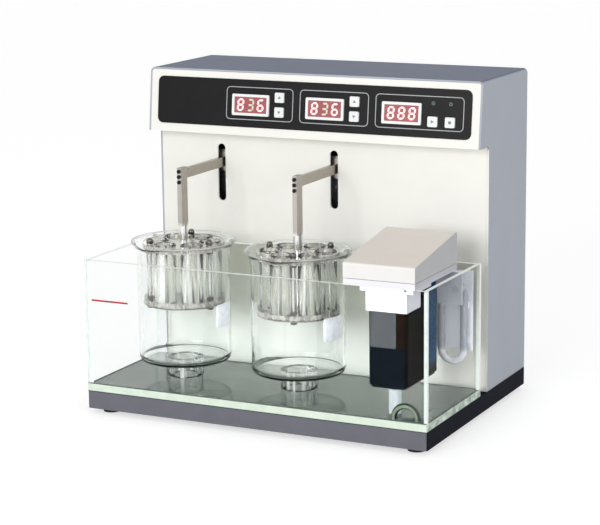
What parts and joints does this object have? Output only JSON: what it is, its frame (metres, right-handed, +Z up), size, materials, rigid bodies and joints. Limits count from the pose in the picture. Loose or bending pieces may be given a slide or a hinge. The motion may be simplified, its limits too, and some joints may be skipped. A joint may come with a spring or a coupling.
{
  "type": "tablet disintegration tester",
  "caption": "Bench tester that dips two tablet basket racks into beakers in a heated clear tank, with an overhanging control head and a hinged heater lid.",
  "frame": {"origin": "on the ground under the middle of the base", "axes": "+X to the operator's right along the tank, +Y to the back, +Z up"},
  "size_m": [0.42, 0.302, 0.381],
  "materials": {
    "base_finish": "dark textured moulding",
    "rubber": "black moulded rubber",
    "screw_steel": "bright zinc",
    "grey_coat": "fine grey powder coat",
    "white_coat": "smooth white coat",
    "overlay_black": "satin black film",
    "bezel_white": "white moulded plastic",
    "display_dark": "dark red window",
    "circuit_board": "green board",
    "button_white": "white moulded plastic",
    "cover_coat": "light grey coat",
    "black_plastic": "black moulded plastic",
    "rocker_red": "red moulded plastic",
    "supply_case": "mill finish",
    "chassis_steel": "zinc plated sheet",
    "aluminium": "milled",
    "rod_steel": "ground",
    "motor_grey": "grey enamel",
    "stainless": "brushed stainless",
    "black_screws": "black oxide",
    "clear_acrylic": "clear acrylic",
    "floor_glass": "clear plate with a pale green edge",
    "lab_glass": "clear laboratory glass",
    "cream_plastic": "cream moulded plastic",
    "white_plastic": "white moulded plastic",
    "pump_black": "black moulded plastic",
    "silicone": "clear silicone tube"
  },
  "bodies": {
    "cabinet": {"base_plate": "base_finish", "rubber_feet": "rubber", "case_screws": "screw_steel", "cabinet_shell": "grey_coat", "column_panel": "white_coat", "head_fascia": "white_coat", "control_overlay": "overlay_black", "display_bezels": "bezel_white", "display_modules": "display_dark", "control_board": "circuit_board", "rear_cover": "cover_coat", "power_inlet": "black_plastic", "power_supply": "supply_case", "chassis_plate": "chassis_steel", "guide_blocks": "aluminium", "guide_rods": "rod_steel", "left_gear_motor": "motor_grey", "right_gear_motor": "motor_grey", "tank_floor_plate": "floor_glass", "tank_front_pane": "clear_acrylic", "tank_rear_pane": "clear_acrylic", "tank_side_panes": "clear_acrylic", "beaker_risers": "clear_acrylic", "left_beaker": "lab_glass", "right_beaker": "lab_glass", "heater_neck": "white_plastic", "pump_body": "pump_black", "pump_cover": "white_plastic", "heater_element": "rod_steel", "temperature_probe": "rod_steel", "circulation_hose": "silicone"},
    "temp_up_button": {"temp_up_button": "button_white"},
    "temp_down_button": {"temp_down_button": "button_white"},
    "time_up_button": {"time_up_button": "button_white"},
    "time_down_button": {"time_down_button": "button_white"},
    "start_button": {"start_button": "button_white"},
    "stop_button": {"stop_button": "button_white"},
    "power_rocker": {"power_rocker": "rocker_red"},
    "heater_lid": {"heater_lid": "cream_plastic"},
    "pump_impeller": {"pump_impeller": "white_plastic"},
    "left_crank": {"left_crank": "aluminium"},
    "right_crank": {"right_crank": "aluminium"},
    "left_rack": {"left_slider": "aluminium", "left_arm": "stainless", "left_hanger": "stainless", "left_hanger_screws": "black_screws", "left_basket_top": "clear_acrylic", "left_basket_bottom": "clear_acrylic", "left_basket_tubes": "lab_glass", "left_basket_mesh": "stainless", "left_basket_posts": "stainless"},
    "right_rack": {"right_slider": "aluminium", "right_arm": "stainless", "right_hanger": "stainless", "right_hanger_screws": "black_screws", "right_basket_top": "clear_acrylic", "right_basket_bottom": "clear_acrylic", "right_basket_tubes": "lab_glass", "right_basket_mesh": "stainless", "right_basket_posts": "stainless"}
  },
  "joints": [
    {"name": "left_lift", "type": "slide", "parent": "cabinet", "child": "left_rack", "axis": [0, 0, 1], "range_m": [-0.04, 0.015]},
    {"name": "right_lift", "type": "slide", "parent": "cabinet", "child": "right_rack", "axis": [0, 0, 1], "range_m": [-0.04, 0.015]},
    {"name": "left_crank_turn", "type": "hinge", "parent": "cabinet", "child": "left_crank", "pos_m": [-0.127, 0.062, 0.2575], "axis": [0, 1, 0], "continuous": true},
    {"name": "right_crank_turn", "type": "hinge", "parent": "cabinet", "child": "right_crank", "pos_m": [0.0192, 0.062, 0.2575], "axis": [0, 1, 0], "continuous": true},
    {"name": "temp_up_press", "type": "slide", "parent": "cabinet", "child": "temp_up_button", "axis": [0, 0.9942, -0.1075], "range_m": [0, 0.0012], "stiffness_N_per_m": 400},
    {"name": "temp_down_press", "type": "slide", "parent": "cabinet", "child": "temp_down_button", "axis": [0, 0.9942, -0.1075], "range_m": [0, 0.0012], "stiffness_N_per_m": 400},
    {"name": "time_up_press", "type": "slide", "parent": "cabinet", "child": "time_up_button", "axis": [0, 0.9942, -0.1075], "range_m": [0, 0.0012], "stiffness_N_per_m": 400},
    {"name": "time_down_press", "type": "slide", "parent": "cabinet", "child": "time_down_button", "axis": [0, 0.9942, -0.1075], "range_m": [0, 0.0012], "stiffness_N_per_m": 400},
    {"name": "start_press", "type": "slide", "parent": "cabinet", "child": "start_button", "axis": [0, 0.9942, -0.1075], "range_m": [0, 0.0012], "stiffness_N_per_m": 400},
    {"name": "stop_press", "type": "slide", "parent": "cabinet", "child": "stop_button", "axis": [0, 0.9942, -0.1075], "range_m": [0, 0.0012], "stiffness_N_per_m": 400},
    {"name": "rocker_tilt", "type": "hinge", "parent": "cabinet", "child": "power_rocker", "pos_m": [-0.149, 0.143, 0.094], "axis": [1, 0, 0], "range_deg": [0, 14]},
    {"name": "lid_hinge", "type": "hinge", "parent": "cabinet", "child": "heater_lid", "pos_m": [0.1547, -0.039, 0.1925], "axis": [-1, 0, 0], "range_deg": [0, 90]},
    {"name": "impeller_spin", "type": "hinge", "parent": "cabinet", "child": "pump_impeller", "pos_m": [0.154, -0.0845, 0.07], "axis": [0, 0, 1], "continuous": true}
  ]
}
